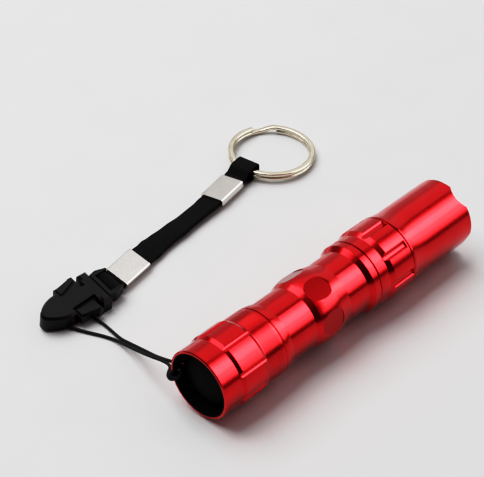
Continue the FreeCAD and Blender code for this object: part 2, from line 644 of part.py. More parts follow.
def make_lens():
    start = d.reflector_end + d.lens_gap
    end = start + d.lens_thickness
    turned("lens", [(start, 0), (start, d.lens_radius), (end, d.lens_radius), (end, 0)])
    gasket = end + d.fit_gap
    turned("lens_gasket", [
        (gasket, d.gasket_radius), (gasket, d.lens_radius), (gasket + d.gasket_thickness, d.lens_radius),
        (gasket + d.gasket_thickness, d.gasket_radius),
    ])


# ---------------------------------------------------------------- buckle

def station_point(station, side, height):
    """A point given by its station along the flashlight, its distance to the side and its height."""
    return Vector(station - d.overall_length.value / 2, side, height)


def buckle_placement():
    heading = Rotation(Vector(0, 0, 1), d.buckle_heading.value)
    roll = Rotation(Vector(1, 0, 0), d.buckle_roll.value)
    near_edge = Vector(0, -d.sleeve_flange_half_width.value, 0)
    origin = station_point(d.buckle_station.value, d.buckle_side.value, 0) + heading.multVec(near_edge)
    lifted = Placement(origin, heading * roll)
    return lifted * Placement(-near_edge, Rotation())


def slab(body, name, corners, floor, roof, cut=False):
    """Pad or pocket a plan outline between two heights above the buckle's underside."""
    height = Placement(Vector(0, 0, floor.value), Rotation())
    sketch = add_sketch(body, "XY_Plane", name + "_outline", height)
    bind(sketch, "AttachmentOffset.Base.z", floor)
    draw_loop(sketch, corners)
    feature = pocket(body, sketch, name, roof - floor) if cut else pad(body, sketch, name, roof - floor)
    body.Tip = feature
    return feature


def bevel_rim(body, feature, name, height, width):
    """Bevel every edge of a slab that lies at one height above the buckle's underside."""
    doc.recompute()
    edges = [f"Edge{number}" for number, edge in enumerate(feature.Shape.Edges, 1)
             if all(abs(vertex.Z - height.value) < 1e-4 for vertex in edge.Vertexes)]
    bevel = body.newObject("PartDesign::Chamfer", name)
    bevel.Base = (feature, edges)
    bind(bevel, "Size", width)
    body.Tip = bevel


def box_outline(start, end, low, high):
    return [(start, low), (end, low), (end, high), (start, high)]


def make_buckle_sleeve():
    """Female half: a flat sleeve with a round closed nose, a flanged mouth and windows for the tabs."""
    body = add_body("buckle_sleeve")
    wide, flange, nose = d.sleeve_half_width, d.sleeve_flange_half_width, d.nose_half_width
    hull = slab(body, "sleeve", [
        (d.nose_start, -nose, d.cheek_radius, -1), (d.cheek_end, -wide), (d.sleeve_flange_start, -wide),
        (d.sleeve_flange_start, -flange), (d.sleeve_length, -flange), (d.sleeve_length, flange),
        (d.sleeve_flange_start, flange), (d.sleeve_flange_start, wide),
        (d.cheek_end, wide, d.cheek_radius, -1), (d.nose_start, nose, d.nose_radius, -1),
    ], as_size(0), d.sleeve_height)
    bevel_rim(body, hull, "sleeve_top_edges", d.sleeve_height, d.sleeve_top_bevel)
    inside, outside = d.pocket_half_width, flange + 1
    slab(body, "prong_pocket", box_outline(d.pocket_start, d.sleeve_length + 1, -inside, inside),
         d.pocket_floor, d.pocket_roof, cut=True)
    slab(body, "side_windows", box_outline(d.window_start, d.window_end, -outside, outside),
         d.pocket_floor, d.pocket_roof, cut=True)
    for side, name in ((-1, "near_notch"), (1, "far_notch")):
        slab(body, name, [
            (d.notch_start, d.notch_tip * side), (d.window_end, d.notch_depth * side),
            (d.window_end, outside * side), (d.notch_start, outside * side),
        ], d.pocket_roof - d.wall_gap, d.sleeve_height + 1, cut=True)
    body.Placement = buckle_placement()


def make_buckle_plug():
    """Male half: a frame with the webbing's bar, a centre guide and the sockets of the two prongs."""
    body = add_body("buckle_plug")
    wide, wall = d.frame_half_width, d.frame_wall
    inner_start = d.frame_start + wall
    shoulder, end = d.frame_shoulder_half_width, d.frame_end_half_width
    slab(body, "plug_frame", [
        (d.frame_start, -wide), (d.frame_shoulder, -shoulder), (d.frame_end, -end), (d.frame_end, end),
        (d.frame_shoulder, shoulder), (d.frame_start, wide),
    ], d.frame_floor, d.frame_roof)
    slab(body, "webbing_slot", box_outline(inner_start, d.frame_end + 1, wall - wide, wide - wall),
         as_size(0), d.frame_roof + 1, cut=True)
    guide, socket = d.guide_half_width, d.socket_half_width
    joined = d.frame_start + d.wall_gap
    slab(body, "centre_guide", box_outline(d.guide_tip, joined, -guide, guide), d.prong_floor, d.prong_roof)
    slab(body, "prong_sockets", box_outline(d.socket_start, joined, -socket, socket),
         d.prong_floor, d.prong_roof)
    bar = add_sketch(body, "XZ_Plane", "bar_section")
    draw_circle(bar, d.bar_station, (d.frame_floor + d.frame_roof) / 2, d.bar_radius)
    feature = pad(body, bar, "webbing_bar", wide * 2 - d.ring_break)
    feature.SideType = "Symmetric"
    body.Placement = buckle_placement()


def make_prong(name, side):
    """One spring arm of the plug: a round root, a slim arm and the ribbed tab that a finger presses."""
    body = add_body(name)
    inner, outer = d.prong_inner * side, d.prong_outer * side
    edge, groove, crest = d.tab_outer * side, d.tab_groove_side * side, d.tab_crest_side * side
    slab(body, name + "_arm", [
        (d.prong_tip, inner), (d.pivot_station, inner, d.prong_root_radius, -side),
        (d.pivot_station, outer),
        (d.tab_end, outer), (d.tab_end, crest), (d.tab_crest, crest), (d.tab_groove, groove),
        (d.tab_step, edge), (d.tab_start, edge), (d.tab_start, outer),
        (d.prong_tip + d.prong_tip_break, outer),
    ], d.prong_floor, d.prong_roof)
    front, back = d.tab_pad_front * side, d.tab_pad_back * side
    margin = d.prong_tip_break * side
    slab(body, name + "_pad", [
        (d.tab_pad_start, front), (d.tab_pad_end, back), (d.tab_pad_end, crest - margin),
        (d.tab_crest, crest - margin), (d.tab_pad_start, edge - margin),
    ], d.prong_roof, d.tab_pad_roof)
    body.Placement = buckle_placement()


# ---------------------------------------------------------------- webbing, crimps and ring

# Middle line of the webbing: station, side, height above the table and roll about its length. A
# positive roll raises the edge that faces away from the flashlight.
WEBBING_ROUTE = [
    (18.9, 49.5, 2.55, 18), (29.0, 51.3, 2.47, 18), (33.5, 52.2, 2.0, 15),
    (38.4, 53.2, 1.6, 9), (46.2, 54.0, 1.2, 3), (55.4, 54.9, 1.35, -2), (60.6, 55.45, 1.8, -5),
    (70.8, 57.3, 1.95, -5),
]
LOWER_CRIMP_SPAN = (0, 1)
UPPER_CRIMP_SPAN = (6, 7)


def webbing_frame(index):
    """Position and rotation of the webbing at one point of its route: X along it, Z out of its face."""
    points = [station_point(*entry[:3]) for entry in WEBBING_ROUTE]
    before, after = points[index - 1], points[(index + 1) % len(points)]
    for first, last in (LOWER_CRIMP_SPAN, UPPER_CRIMP_SPAN):
        if index in (first, last):
            before, after = points[first], points[last]
    along = (after - before).normalize()
    across = Vector(0, 0, 1).cross(along).normalize()
    level = Rotation(along, across, along.cross(across), "ZXY")
    roll = Rotation(Vector(1, 0, 0), WEBBING_ROUTE[index][3])
    return Placement(points[index], level * roll)


def bar_loop_frame():
    """Middle of the buckle's webbing bar, X along the buckle."""
    height = (d.frame_floor.value + d.frame_roof.value) / 2
    return buckle_placement() * Placement(Vector(d.bar_station.value, 0, height), Rotation())


def ring_loop_frame():
    """Foot of the webbing's loop round the split ring, X along the loop."""
    foot = station_point(d.ring_loop_station.value, d.ring_loop_side.value, d.ring_loop_height.value)
    return Placement(foot, Rotation(Vector(0, 0, 1), d.ring_loop_heading.value))


def rectangle_wire(frame, width, thickness):
    corners = [Vector(0, side * width / 2, up * thickness / 2)
               for side, up in ((-1, -1), (1, -1), (1, 1), (-1, 1))]
    corners = [frame.multVec(corner) for corner in corners]
    return Part.makePolygon(corners + corners[:1])


def add_shape(name, shape):
    feature = doc.addObject("Part::Feature", name)
    feature.Label = name
    feature.Shape = shape
    return feature


def make_webbing():
    width, thickness = d.webbing_width.value, d.webbing_thickness.value
    tongue = bar_loop_frame() * Placement(Vector(d.bar_loop_tongue.value, 0, 0), Rotation())
    frames = [tongue] + [webbing_frame(i) for i in range(len(WEBBING_ROUTE))] + [ring_loop_frame()]
    wires = [rectangle_wire(frame, width, thickness) for frame in frames]
    add_shape("webbing", Part.makeLoft(wires, True, True))


def make_crimp(name, span):
    """Sheet-metal sleeve pressed round the two layers of webbing."""
    corner = d.crimp_corner
    body = add_body(name)
    outline = add_sketch(body, "YZ_Plane", name + "_outline")
    inner_width, inner_height = d.webbing_width / 2, d.webbing_thickness / 2
    half_width, half_height = inner_width + d.crimp_wall, inner_height + d.crimp_wall
    draw_loop(outline, [
        (-half_width, corner - half_height, corner, -1), (corner - half_width, -half_height),
        (half_width - corner, -half_height, corner, -1), (half_width, corner - half_height),
        (half_width, half_height - corner, corner, -1), (half_width - corner, half_height),
        (corner - half_width, half_height, corner, -1), (-half_width, half_height - corner),
    ])
    pad(body, outline, name + "_sleeve", d.crimp_length)
    hollow = add_sketch(body, "YZ_Plane", name + "_hollow")
    draw_loop(hollow, box_outline(-inner_width, inner_width, -inner_height, inner_height))
    pocket(body, hollow, name + "_opening", d.crimp_length)
    body.Placement = webbing_frame(span[0])


def make_ring_loop():
    """End of the webbing, folded round the split ring's wire."""
    body = add_body("webbing_ring_loop")
    outline = add_sketch(body, "XZ_Plane", "ring_loop_outline")
    thick = d.webbing_thickness / 2
    outer, inner, centre = d.loop_outer_radius, d.loop_inner_radius, d.loop_centre
    draw_loop(outline, [
        (0, -thick), (d.loop_flare, -outer), (centre, -outer, outer, -1), (centre + outer, 0, outer, -1),
        (centre, outer), (d.loop_flare, outer), (0, thick),
    ])
    draw_loop(outline, [
        (d.loop_inner_start, 0), (d.loop_inner_flare, -inner), (centre, -inner, inner, -1),
        (centre + inner, 0, inner, -1), (centre, inner), (d.loop_inner_flare, inner),
    ])
    feature = pad(body, outline, "ring_loop", d.webbing_width)
    feature.SideType = "Symmetric"
    body.Placement = ring_loop_frame()


def make_bar_loop():
    """Other end of the webbing, folded round the bar of the buckle's plug."""
    body = add_body("webbing_bar_loop")
    outline = add_sketch(body, "XZ_Plane", "bar_loop_outline")
    outer, inner = d.bar_loop_outer_radius, d.bar_loop_inner_radius
    tongue, thick = d.bar_loop_tongue, d.webbing_thickness / 2
    draw_loop(outline, [
        (-outer, 0, outer, -1), (0, -outer), (tongue, -thick), (tongue, thick), (0, outer, outer, -1),
    ])
    draw_circle(outline, 0, 0, inner)
    feature = pad(body, outline, "bar_loop", d.frame_half_width * 2 - d.frame_wall * 2 - d.ring_break)
    feature.SideType = "Symmetric"
    body.Placement = bar_loop_frame()


def make_split_ring():
    """Two flat coils of one wire, joined where the wire steps up and open at the upper coil's end."""
    body = add_body("split_ring")
    outer = d.ring_outer_radius
    inner = outer - d.ring_radial_width
    half = d.coil_height + d.coil_gap / 2
    bevel = d.ring_chamfer

    def coil(name, angle, low, high, low_bevel, high_bevel):
        sketch = add_sketch(body, "XZ_Plane", name + "_section")
        draw_loop(sketch, [
            (inner, low + low_bevel), (inner + low_bevel, low), (outer - low_bevel, low),
            (outer, low + low_bevel), (outer, high - high_bevel), (outer - high_bevel, high),
            (inner + high_bevel, high), (inner, high - high_bevel),
        ])
        feature = body.newObject("PartDesign::Revolution", name)
        feature.Profile = sketch
        feature.ReferenceAxis = (sketch, ["V_Axis"])
        feature.Reversed = True
        bind(feature, "Angle", angle)

    small = d.fit_gap
    coil("lower_coil", as_size(360), -half, -half + d.coil_height, bevel, small)
    coil("coil_join", d.coil_join_angle, -half, half, bevel, bevel)
    coil("upper_coil", d.upper_coil_angle, half - d.coil_height, half, small, bevel)
    centre = station_point(d.ring_station.value, d.ring_side.value, d.ring_height.value)
    tilt = Rotation(Vector(0, 1, 0), d.ring_tilt.value)
    body.Placement = Placement(centre, tilt * Rotation(Vector(0, 0, 1), d.ring_joint_angle.value))


# ---------------------------------------------------------------- thin cord

# The cord leaves the buckle's underside, runs along the table, rises to the tail cap, goes in through
# its side hole, out over its rim and back to the buckle. Station, side and height of each point.
CORD_ROUTE = [
    (5.9, 46.7, 0.72), (6.3, 42.4, 0.48), (5.95, 37.7, 0.5), (5.3, 33.5, 0.62), (5.17, 29.6, 1.55),
    (3.69, 23.0, 4.6), (2.2, 16.9, 7.5), (2.0, 13.6, 8.8), (2.7, 11.2, 9.1), (2.5, 9.2, 9.1),
    (2.0, 7.75, 9.3), (0.5, 7.35, 9.9), (-0.8, 8.3, 10.4), (-0.85, 10.4, 10.2), (0.3, 14.0, 9.0),
    (1.27, 18.2, 7.1), (2.8, 24.4, 4.05), (4.03, 30.6, 1.4), (4.2, 34.2, 0.6), (3.1, 37.6, 0.48),
    (1.2, 41.4, 0.5), (-0.9, 46.2, 0.62),
]


def rounded_path(points):
    """Straight runs joined by tangent arcs, each as large as its two runs allow."""
    edges, radii = [], []
    start = points[0]
    for before, corner, after in zip(points, points[1:], points[2:]):
        run_in, run_out = corner - before, after - corner
        tangent = 0.45 * min(run_in.Length, run_out.Length)
        half_turn = run_in.getAngle(run_out) / 2
        radius = tangent / math.tan(half_turn)
        inward, outward = Vector(run_in).normalize(), Vector(run_out).normalize()
        arc_start, arc_end = corner - inward * tangent, corner + outward * tangent
        middle = corner + (outward - inward).normalize() * (radius / math.cos(half_turn) - radius)
        edges.append(Part.LineSegment(start, arc_start).toShape())
        edges.append(Part.Arc(arc_start, middle, arc_end).toShape())
        radii.append(radius)
        start = arc_end
    edges.append(Part.LineSegment(start, points[-1]).toShape())
    return Part.Wire(edges), radii


def make_cord():
    points = [station_point(*entry) for entry in CORD_ROUTE]
    path, radii = rounded_path(points)
    radius = d.cord_diameter.value / 2
    section = Part.Wire([Part.makeCircle(radius, points[0], points[1] - points[0])])
    tube = path.makePipeShell([section], True, False)
    expected = math.pi * radius ** 2 * path.Length
    print("cord length", round(path.Length, 2), "volume ratio", round(tube.Volume / expected, 4))
    print("cord radii", [round(value, 2) for value in radii])
    add_shape("thin_cord", tube)


# ---------------------------------------------------------------- build, check and export

NODES = [
    "tail_cap", "battery_tube", "head_body", "bezel", "button_boot", "switch_plunger", "switch_housing",
    "switch_retainer", "tail_oring", "head_oring", "bezel_oring", "tail_spring", "battery_cell", "pill",
    "driver_board", "driver_contact", "driver_inductor", "driver_chip", "led_wires", "led_board",
    "led_emitter", "reflector", "lens", "lens_gasket", "buckle_sleeve", "buckle_plug", "prong_near",
    "prong_far", "webbing", "lower_crimp", "upper_crimp", "webbing_ring_loop", "webbing_bar_loop",
    "split_ring", "thin_cord",
]


def build():
    fill_sheet()
    make_tail_cap()
    make_battery_tube()
    make_head_body()
    make_bezel()
    make_button()
    make_switch()
    make_seals()
    make_tail_spring()
    make_cell()
    make_pill()
    make_driver()
    make_wires()
    make_led()
    make_reflector()
    make_lens()
    make_buckle_sleeve()
    make_buckle_plug()
    make_prong("prong_near", -1)
    make_prong("prong_far", 1)
    make_webbing()
    make_crimp("lower_crimp", LOWER_CRIMP_SPAN)
    make_crimp("upper_crimp", UPPER_CRIMP_SPAN)
    make_ring_loop()
    make_bar_loop()
    make_split_ring()
    make_cord()
    doc.recompute()


def check_and_export():
    failed = [item.Name for item in doc.Objects if {"Invalid", "Error"} & set(item.State)]
    if failed:
        raise RuntimeError(f"failed objects: {failed}")
    os.makedirs("parts", exist_ok=True)
    for name in NODES:
        shape = doc.getObjectsByLabel(name)[0].Shape
        if shape.isNull() or not shape.isValid() or not shape.Solids:
            raise RuntimeError(f"{name} has no valid solid")
        print(f"{name}: {len(shape.Solids)} solid(s), {shape.Volume:.1f} mm3")
        shape.exportStep(f"parts/{name}.step")


build()
check_and_export()
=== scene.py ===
import json
import math

import bmesh
import bpy
from mathutils import Matrix, Quaternion, Vector


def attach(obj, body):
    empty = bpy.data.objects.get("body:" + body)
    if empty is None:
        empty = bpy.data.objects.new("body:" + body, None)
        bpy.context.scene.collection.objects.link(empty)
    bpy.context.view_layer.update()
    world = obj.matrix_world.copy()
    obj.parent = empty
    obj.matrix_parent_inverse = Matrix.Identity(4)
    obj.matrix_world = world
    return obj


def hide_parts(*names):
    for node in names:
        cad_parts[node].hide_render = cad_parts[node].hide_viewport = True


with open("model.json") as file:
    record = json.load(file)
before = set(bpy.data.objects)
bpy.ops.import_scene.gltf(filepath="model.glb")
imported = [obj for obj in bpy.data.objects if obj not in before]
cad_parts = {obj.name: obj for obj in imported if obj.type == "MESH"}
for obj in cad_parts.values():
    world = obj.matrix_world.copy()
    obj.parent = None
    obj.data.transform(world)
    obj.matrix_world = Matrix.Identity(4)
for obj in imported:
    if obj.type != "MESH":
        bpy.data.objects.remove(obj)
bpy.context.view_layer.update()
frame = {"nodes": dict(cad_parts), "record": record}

scene = bpy.context.scene
NODES = frame["nodes"]
MM = 0.001
# The flashlight lies along X: its axis is this high, and its tail's rim is at this X.
AXIS_Z = 0.0104
TAIL_X = -0.0464


# ---------------------------------------------------------------- camera, light and floor

# The photograph's camera, solved from the rims, the tube and the split ring.
CAMERA_LENS, CAMERA_SENSOR, CAMERA_CLIP_START = 143.80, 36.0, 0.01
CAMERA_PLACE = (-0.28073, -0.23969, 0.33684)
CAMERA_RIGHT = (0.69495, -0.71905, 0.00337)
CAMERA_UP = (0.45939, 0.44759, 0.76722)
CAMERA_BACK = (-0.55318, -0.53164, 0.64137)

# Softboxes: angle about the flashlight's axis (degrees from +Y over the top), distance from it,
# centre along it, size along and around it (metres), and how bright the box looks.
RED_LIGHTS = {
    "side_softbox": (130.0, 1.0, 1.15, (1.6, 1.26), 2.9),
    "side_middle": (127.0, 0.97, 1.15, (1.6, 0.84), 1.6),
    "side_core": (123.0, 0.94, 1.15, (1.6, 0.38), 3.2),
}
SMALL_PARTS_LIGHTS = {
    "small_parts_softbox": (124.0, 1.0, 1.15, (1.6, 1.68), 2.0),
}
ROOM_LIGHTS = {
    "room_fill": (133.5, 1.2, 1.15, (1.6, 1.6), 0.5),
    "overhead_low": (18.0, 1.2, 1.0, (2.2, 1.02), 0.36),
    "overhead_high": (61.5, 1.2, 1.0, (2.2, 0.95), 0.68),
    "back_panel": (62.0, 1.4, -0.25, (1.2, 1.2), 3.6),
}

# The room is brightest in one direction: the cosine from it where the room is dimmest and where it
# is brightest, and its strength at both.
BRIGHT_DIRECTION = (0.43, 0.41, 0.80)
DIMMEST_COSINE, BRIGHTEST_COSINE = -0.05, 0.75
DIM_ROOM, BRIGHT_ROOM = 0.05, 0.22

# The camera's tone curve: scene light and the level it is shown at.
BRIGHTEST_LIGHT = 4.0
TONE_CURVE = [(0.05, 0.02), (0.12, 0.08), (0.3, 0.28), (0.75, 0.755), (1.1, 0.90), (2.0, 0.98)]

FLOOR_SIZE = 6.0


def add_camera():
    data = bpy.data.cameras.new("camera")
    data.lens = CAMERA_LENS
    data.sensor_width = CAMERA_SENSOR
    data.sensor_fit = "HORIZONTAL"
    data.clip_start = CAMERA_CLIP_START
    camera = bpy.data.objects.new("camera", data)
    scene.collection.objects.link(camera)
    rotation = Matrix((CAMERA_RIGHT, CAMERA_UP, CAMERA_BACK)).transposed().to_4x4()
    camera.matrix_world = Matrix.Translation(CAMERA_PLACE) @ rotation
    scene.camera = camera


def add_panel(name, angle, distance, centre_x, size, radiance):
    """A rectangular softbox that faces the flashlight's axis. Its radiance sets its power."""
    data = bpy.data.lights.new(name, "AREA")
    data.shape = "RECTANGLE"
    data.size, data.size_y = size
    data.energy = radiance * math.pi * size[0] * size[1]
    panel = bpy.data.objects.new(name, data)
    scene.collection.objects.link(panel)
    outward = Vector((0, math.cos(math.radians(angle)), math.sin(math.radians(angle))))
    along = Vector((1, 0, 0))
    rotation = Matrix((along, outward.cross(along), outward)).transposed().to_4x4()
    panel.matrix_world = Matrix.Translation(outward * distance + along * centre_x) @ rotation
    return panel


def limit_light(panels, members, state):
    """Let the panels light only the members (INCLUDE) or everything but them (EXCLUDE)."""
    group = bpy.data.collections.new(panels[0].name + "_" + state.lower())
    for member in members:
        group.objects.link(member)
    for entry in group.collection_objects:
        entry.light_linking.link_state = state
    for panel in panels:
        panel.light_linking.receiver_collection = group


def add_lights(floor):
    """The red lights reach the red metal only, and the small parts' light everything but it and the
    floor."""
    red = [NODES[entry["node"]] for entry in frame["record"]["subparts"]
           if entry["material_slot"] == "red_anodised"]
    limit_light([add_panel(name, *panel) for name, panel in RED_LIGHTS.items()], red, "INCLUDE")
    limit_light([add_panel(name, *panel) for name, panel in SMALL_PARTS_LIGHTS.items()],
                red + [floor], "EXCLUDE")
    for name, panel in ROOM_LIGHTS.items():
        add_panel(name, *panel)


def add_tone_curve():
    """A camera's gentle contrast curve: shadows deepen and highlights roll off."""
    view = scene.view_settings
    view.view_transform = "Standard"
    view.use_curve_mapping = True
    mapping = view.curve_mapping
    mapping.white_level = (BRIGHTEST_LIGHT, BRIGHTEST_LIGHT, BRIGHTEST_LIGHT)
    combined = mapping.curves[3]
    for light, shown in TONE_CURVE:
        combined.points.new(light / BRIGHTEST_LIGHT, shown)
    mapping.update()


def add_world():
    """A studio room: bright above and beyond the object, dim behind the camera."""
    world = bpy.data.worlds.new("studio")
    world.use_nodes = True
    tree = world.node_tree
    background = tree.nodes["Background"]
    coords = tree.nodes.new("ShaderNodeTexCoord")
    facing = tree.nodes.new("ShaderNodeVectorMath")
    facing.operation = "DOT_PRODUCT"
    facing.inputs[1].default_value = BRIGHT_DIRECTION
    tree.links.new(coords.outputs["Generated"], facing.inputs[0])
    strength = tree.nodes.new("ShaderNodeMapRange")
    strength.interpolation_type = "SMOOTHSTEP"
    strength.inputs["From Min"].default_value = DIMMEST_COSINE
    strength.inputs["From Max"].default_value = BRIGHTEST_COSINE
    strength.inputs["To Min"].default_value = DIM_ROOM
    strength.inputs["To Max"].default_value = BRIGHT_ROOM
    tree.links.new(facing.outputs["Value"], strength.inputs["Value"])
    tree.links.new(strength.outputs["Result"], background.inputs["Strength"])
    background.inputs["Color"].default_value = (1.0, 1.0, 1.0, 1.0)
    scene.world = world


def add_floor():
    bpy.ops.mesh.primitive_plane_add(size=FLOOR_SIZE)
    floor = bpy.context.object
    floor.name = "floor"
    paper = mottled("floor_paper", (0.78, 0.78, 0.785), (0.80, 0.80, 0.805), 60, (0.6, 0.7))
    floor.data.materials.append(paper)
    return floor


# ---------------------------------------------------------------- material helpers

class Shader:
    """A material with its node tree, and short calls for the nodes that this scene uses."""

    def __init__(self, name, roughness=0.5, metallic=0.0):
        self.material = bpy.data.materials.new(name)
        self.material.use_nodes = True
        self.tree = self.material.node_tree
        self.surface = self.tree.nodes["Principled BSDF"]
        self.set("Roughness", roughness)
        self.set("Metallic", metallic)

    def set(self, socket, value):
        self.surface.inputs[socket].default_value = value

    def link(self, source, socket):
        self.tree.links.new(source, self.surface.inputs[socket])

    def node(self, kind, **inputs):
        node = self.tree.nodes.new(kind)
        for name, value in inputs.items():
            self.feed(node.inputs[name.replace("_", " ")], value)
        return node

    def feed(self, socket, value):
        if isinstance(value, bpy.types.NodeSocket):
            self.tree.links.new(value, socket)
        else:
            socket.default_value = value

    def coords(self, kind="Object"):
        return self.node("ShaderNodeTexCoord").outputs[kind]

    def axes(self, kind="Object"):
        return self.node("ShaderNodeSeparateXYZ", Vector=self.coords(kind)).outputs

    def noise(self, scale, detail=3.0, vector=None):
        """Noise over the object's own coordinates, or over the vector given."""
        return self.node("ShaderNodeTexNoise", Vector=vector or self.coords(), Scale=scale,
                         Detail=detail).outputs["Fac"]

    def math(self, operation, first, second=0.0):
        node = self.tree.nodes.new("ShaderNodeMath")
        node.operation = operation
        self.feed(node.inputs[0], first)
        self.feed(node.inputs[1], second)
        return node.outputs[0]

    def spread(self, noise, low, high):
        """Stretch a noise's usual range, which is the middle of 0 to 1, from low to high."""
        return self.node("ShaderNodeMapRange", Value=noise, From_Min=0.3, From_Max=0.7,
                         To_Min=low, To_Max=high).outputs[0]

    def mix(self, factor, first, second):
        node = self.tree.nodes.new("ShaderNodeMix")
        node.data_type = "RGBA"
        self.feed(node.inputs[0], factor)
        for socket, colour in ((node.inputs[6], first), (node.inputs[7], second)):
            made = isinstance(colour, bpy.types.NodeSocket)
            self.feed(socket, colour if made else (*colour, 1.0))
        return node.outputs[2]

    def ripple(self, value, period):
        """A smooth wave from 0 to 1 with one crest for each period of the value."""
        angle = self.math("MULTIPLY", value, 2 * math.pi / period)
        return self.math("MULTIPLY_ADD", self.math("SINE", angle), 0.5)

    def relief(self, height, distance):
        bump = self.node("ShaderNodeBump", Height=height, Distance=distance, Strength=1.0)
        self.link(bump.outputs[0], "Normal")


def mottled(name, first, second, scale, roughness, grain=0.0, coat=0.0, shine=0.5):
    """Two close colours in soft patches, with the gloss and a fine grain varying too."""
    shader = Shader(name, roughness[0])
    shader.set("Specular IOR Level", shine)
    patches = shader.noise(scale)
    shader.link(shader.mix(shader.spread(patches, 0.0, 1.0), first, second), "Base Color")
    shader.link(shader.spread(shader.noise(scale * 2.3), *roughness), "Roughness")
    if grain:
        shader.relief(shader.noise(scale * 9.0, 2.0), grain)
    if coat:
        shader.set("Coat Weight", coat)
        shader.set("Coat Roughness", 0.15)
    return shader.material


# Where the red metal's look changes, and where shade is painted on it. Stations are from the tail's
# rim; radii are from the axis.
RECESS_DEPTH, RECESS_RADIUS = 4.3 * MM, 8.9 * MM
NECK_START, NECK_END, NECK_RADIUS = 15.2 * MM, 21.1 * MM, 9.51 * MM
# Facets: angle of the first, half the angle between two, distance from the axis and its tolerance,
# station of their middle and half their length.
FACET_ANGLE, FACET_HALF_TURN = math.radians(110.5), math.radians(30)
FACET_LEVEL, FACET_TOLERANCE = 9.26 * MM, 0.012 * MM
FACET_STATION, FACET_REACH = 38.7 * MM, 3.85 * MM


def on_facet(shader, along, side, height, radius):
    """1 on the flat facets milled into the battery tube's bulge, where a deeper red is painted as
    shade.
    """
    around = shader.math("SUBTRACT", shader.math("ARCTAN2", height, side), FACET_ANGLE)
    from_facet = shader.math("PINGPONG", around, FACET_HALF_TURN)
    rise = shader.math("MULTIPLY", radius, shader.math("COSINE", from_facet))
    off_level = shader.math("ABSOLUTE", shader.math("SUBTRACT", rise, FACET_LEVEL))
    level = shader.math("LESS_THAN", off_level, FACET_TOLERANCE)
    from_bulge = shader.math("ABSOLUTE", shader.math("SUBTRACT", along, TAIL_X + FACET_STATION))
    return shader.math("MULTIPLY", level, shader.math("LESS_THAN", from_bulge, FACET_REACH))


def red_anodised():
    """Dyed aluminium: turning marks run round the piece and the dye is a little uneven. Inside the
    tail recess it is painted dull black as shade, and in the neck's grooves and on the facets it is
    painted a deeper red as shade."""
    shader = Shader("red_anodised", 0.18, 1.0)
    patches = shader.spread(shader.noise(260.0), 0.0, 1.0)
    dye_and_shade = shader.mix(patches, (0.60, 0.0065, 0.012), (0.66, 0.0085, 0.015))
    axes = shader.axes()
    height = shader.math("SUBTRACT", axes["Z"], AXIS_Z)
    radius = shader.math("SQRT", shader.math("ADD", shader.math("MULTIPLY", axes["Y"], axes["Y"]),
                                             shader.math("MULTIPLY", height, height)))
    # Painted shade: inside the tail recess the metal is coloured black and is not metallic, as the
    # recess lies in shade.
    in_bore = shader.math("LESS_THAN", radius, RECESS_RADIUS)
    in_tail = shader.math("LESS_THAN", axes["X"], TAIL_X + RECESS_DEPTH)
    painted_recess_shade = shader.math("MULTIPLY", in_bore, in_tail)
    unshaded_metal = shader.math("SUBTRACT", 1.0, painted_recess_shade)
    # Painted shade: the neck's fine grooves are coloured a deeper red, as shade falls in them.
    below_neck = shader.math("LESS_THAN", radius, NECK_RADIUS)
    past_neck = shader.math("GREATER_THAN", axes["X"], TAIL_X + NECK_START)
    before_seam = shader.math("LESS_THAN", axes["X"], TAIL_X + NECK_END)
    groove = shader.math("MULTIPLY", below_neck, shader.math("MULTIPLY", past_neck, before_seam))
    # Painted shade: the facets are coloured a deeper red, as where they reflect the dim room.
    facet_shade = on_facet(shader, axes["X"], axes["Y"], height, radius)
    dye_and_shade = shader.mix(groove, dye_and_shade, (0.34, 0.004, 0.007))
    dye_and_shade = shader.mix(facet_shade, dye_and_shade, (0.37, 0.002, 0.005))
    shader.link(shader.mix(painted_recess_shade, dye_and_shade, (0.002, 0.002, 0.002)), "Base Color")
    shader.link(unshaded_metal, "Metallic")
    shader.link(shader.math("MULTIPLY", unshaded_metal, 0.35), "Coat Weight")
    along = shader.node("ShaderNodeCombineXYZ", X=axes["X"]).outputs[0]
    marks = shader.noise(9000.0, vector=along)
    sheen = shader.spread(marks, 0.17, 0.25)
    shader.link(shader.math("ADD", sheen, shader.math("MULTIPLY", painted_recess_shade, 0.5)), "Roughness")
    shader.relief(marks, 0.0000025)
    shader.set("Coat Roughness", 0.15)
    shader.set("Specular IOR Level", 0.15)
    return shader.material


def turned_metal(name, first, second, roughness):
    """Bare turned metal, with fine rings round the flashlight's axis."""
    shader = Shader(name, roughness, 1.0)
    patches = shader.spread(shader.noise(400.0), 0.0, 1.0)
    shader.link(shader.mix(patches, first, second), "Base Color")
    axes = shader.axes()
    rings = shader.ripple(axes["X"], 0.12 * MM)
    shader.relief(rings, 0.000004)
    shader.link(shader.spread(shader.noise(1500.0), roughness, roughness + 0.12), "Roughness")
    return shader.material


def nickel(name, first, second, roughness):
    """Plated metal: a little uneven in colour, with finer patches in its gloss."""
    shader = Shader(name, roughness, 1.0)
    patches = shader.spread(shader.noise(300.0, 2.0), 0.0, 1.0)
    shader.link(shader.mix(patches, first, second), "Base Color")
    gloss = shader.noise(1800.0, 2.0)
    shader.link(shader.spread(gloss, roughness, roughness + 0.05), "Roughness")
    return shader.material


